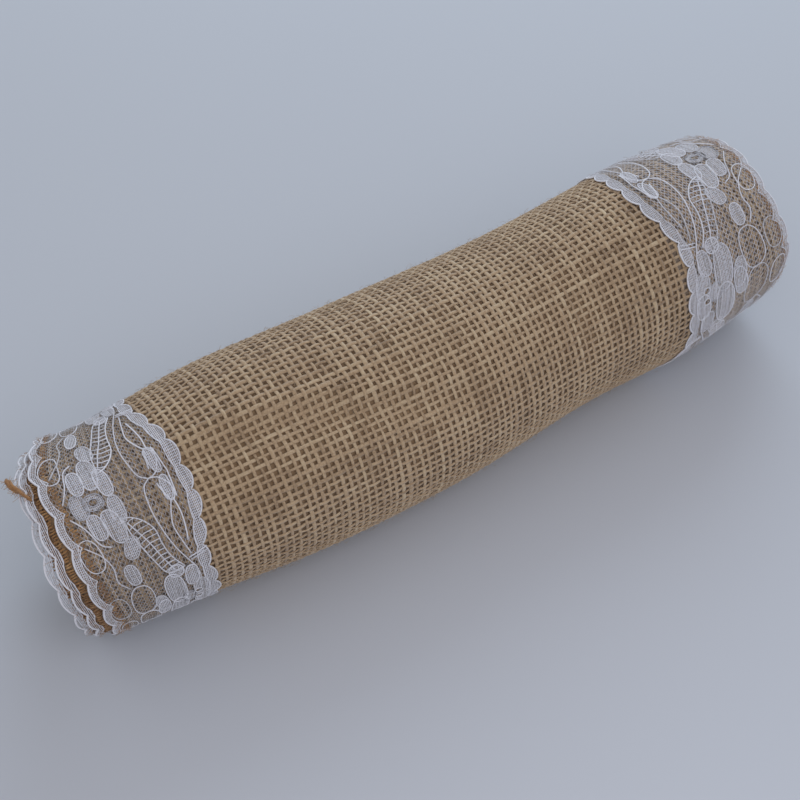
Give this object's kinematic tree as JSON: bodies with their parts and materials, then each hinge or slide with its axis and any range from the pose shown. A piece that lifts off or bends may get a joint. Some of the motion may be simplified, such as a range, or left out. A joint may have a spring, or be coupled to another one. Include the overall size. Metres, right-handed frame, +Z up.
{
  "type": "table runner",
  "caption": "Natural burlap table runner with floral lace bands along both long edges, rolled up for storage, its free end hanging at the back.",
  "frame": {"origin": "centre of the roll's footprint, on the surface that it lies on", "axes": "+X along the roll, towards the end where the inner turns are recessed; +Y towards the side where the free end hangs; +Z up"},
  "size_m": [0.3096, 0.0809, 0.0799],
  "materials": {
    "burlap": "plain-woven natural jute, coarse and matt",
    "lace": "white knitted floral lace, matt",
    "overlock_thread": "golden brown overlock thread, slightly fuzzy",
    "hem_thread": "cream sewing thread"
  },
  "bodies": {
    "roll": {"burlap_roll": "burlap", "overlock_left_roll": "overlock_thread", "lace_left_roll": "lace", "overlock_right_roll": "overlock_thread", "lace_right_roll": "lace", "core_hem_stitching": "hem_thread"},
    "free_end": {"burlap_free_end": "burlap", "overlock_left_free_end": "overlock_thread", "lace_left_free_end": "lace", "overlock_right_free_end": "overlock_thread", "lace_right_free_end": "lace", "end_hem_stitching": "hem_thread"}
  },
  "joints": [
    {"name": "free_end_lift", "type": "hinge", "parent": "roll", "child": "free_end", "pos_m": [0, 0.03765, 0.05506], "axis": [1, 0, 0], "range_deg": [0, 80]}
  ]
}
